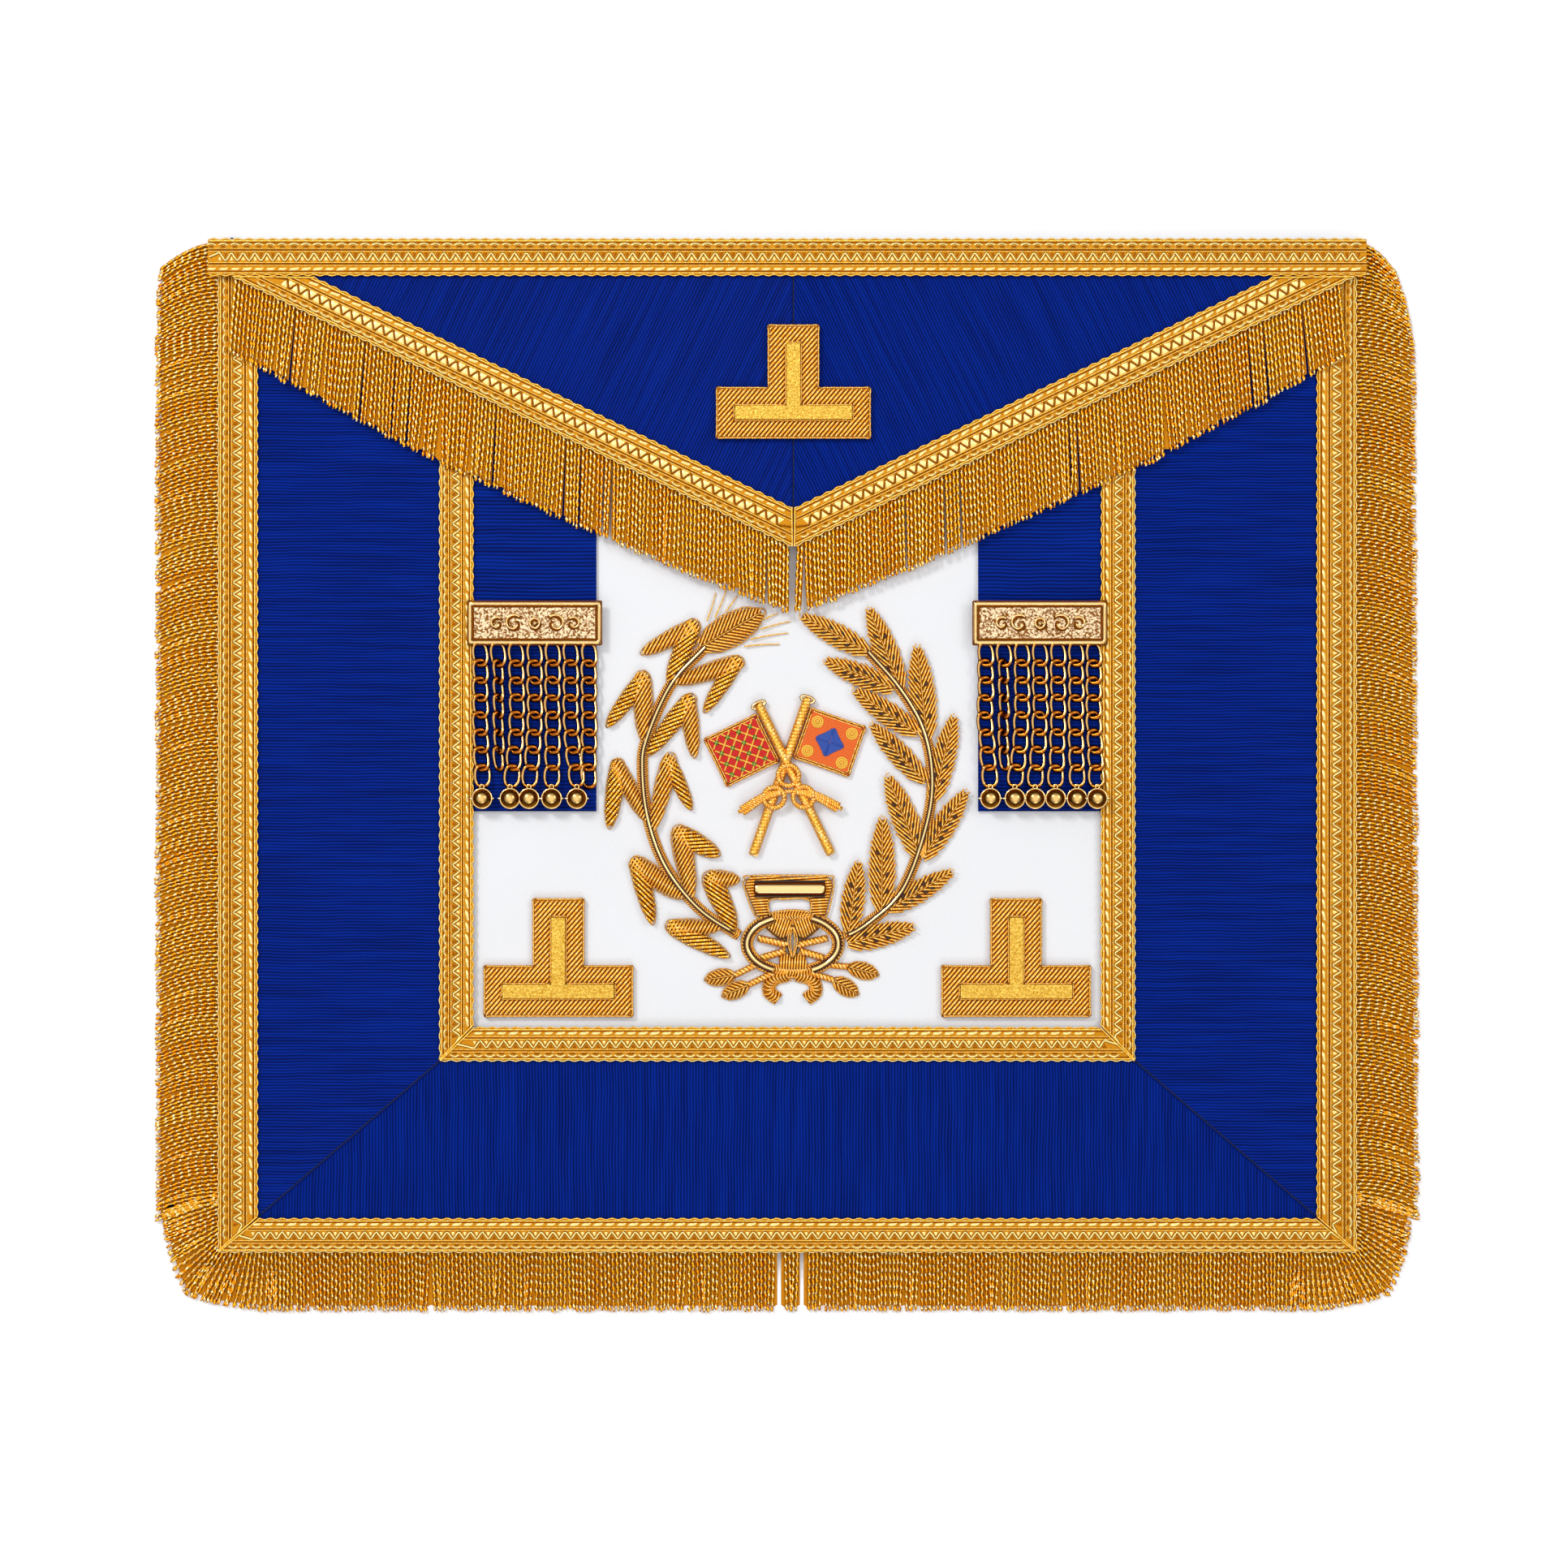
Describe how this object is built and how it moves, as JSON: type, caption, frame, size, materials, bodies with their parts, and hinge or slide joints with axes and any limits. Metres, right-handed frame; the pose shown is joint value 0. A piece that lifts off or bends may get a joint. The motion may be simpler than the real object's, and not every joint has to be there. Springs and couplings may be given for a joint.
{
  "type": "masonic apron",
  "caption": "White lambskin apron laid flat, with a V flap, blue silk border, gold lace and fringe, chain tassels and a bullion wreath.",
  "frame": {"origin": "centre of the whole apron's box, on the surface that it lies on", "axes": "+X to the right across the apron as seen from the front, +Y up the apron towards its waist, +Z out of its face"},
  "size_m": [0.4516, 0.3836, 0.012],
  "materials": {
    "lining": "matt blue twill",
    "lambskin": "soft white lambskin with a fine grain",
    "silk": "ribbed royal blue silk with a soft sheen",
    "lace": "woven gold metal lace, bright on its raised threads",
    "fringe": "twisted gold bullion fringe",
    "bullion": "padded gold bullion purl, satin",
    "gilt": "polished gilt metal, darker in its hollows",
    "banner": "coloured silk floss embroidery in a gold edge"
  },
  "bodies": {
    "root": {"back_lining": "lining", "body_panel": "lambskin", "side_panel_left": "silk", "side_panel_right": "silk", "bottom_panel": "silk", "inner_lace_left": "lace", "inner_lace_right": "lace", "inner_lace_bottom": "lace", "outer_lace_left": "lace", "outer_lace_right": "lace", "outer_lace_bottom": "lace", "top_lace": "lace", "flap_left": "silk", "flap_right": "silk", "flap_lace_left": "lace", "flap_lace_right": "lace", "flap_fringe_left": "fringe", "flap_fringe_right": "fringe", "fringe_left": "fringe", "fringe_right": "fringe", "fringe_bottom": "fringe", "ribbon_left": "silk", "ribbon_right": "silk", "tassel_plate_left": "gilt", "tassel_plate_right": "gilt", "chain_left_1": "gilt", "chain_left_2": "gilt", "chain_left_3": "gilt", "chain_left_4": "gilt", "chain_left_5": "gilt", "chain_left_6": "gilt", "chain_left_7": "gilt", "chain_right_1": "gilt", "chain_right_2": "gilt", "chain_right_3": "gilt", "chain_right_4": "gilt", "chain_right_5": "gilt", "chain_right_6": "gilt", "chain_right_7": "gilt", "level_flap": "bullion", "level_left": "bullion", "level_right": "bullion", "level_strip_flap": "gilt", "level_strip_left": "gilt", "level_strip_right": "gilt", "wreath_left": "bullion", "wreath_right": "bullion", "stem_wire_left": "gilt", "stem_wire_right": "gilt", "crossed_staffs": "bullion", "banner_left": "banner", "banner_right": "banner", "rope_knot": "bullion", "clasp": "bullion", "clasp_wire_left": "gilt", "clasp_wire_right": "gilt", "clasp_bar": "gilt"}
  },
  "joints": []
}
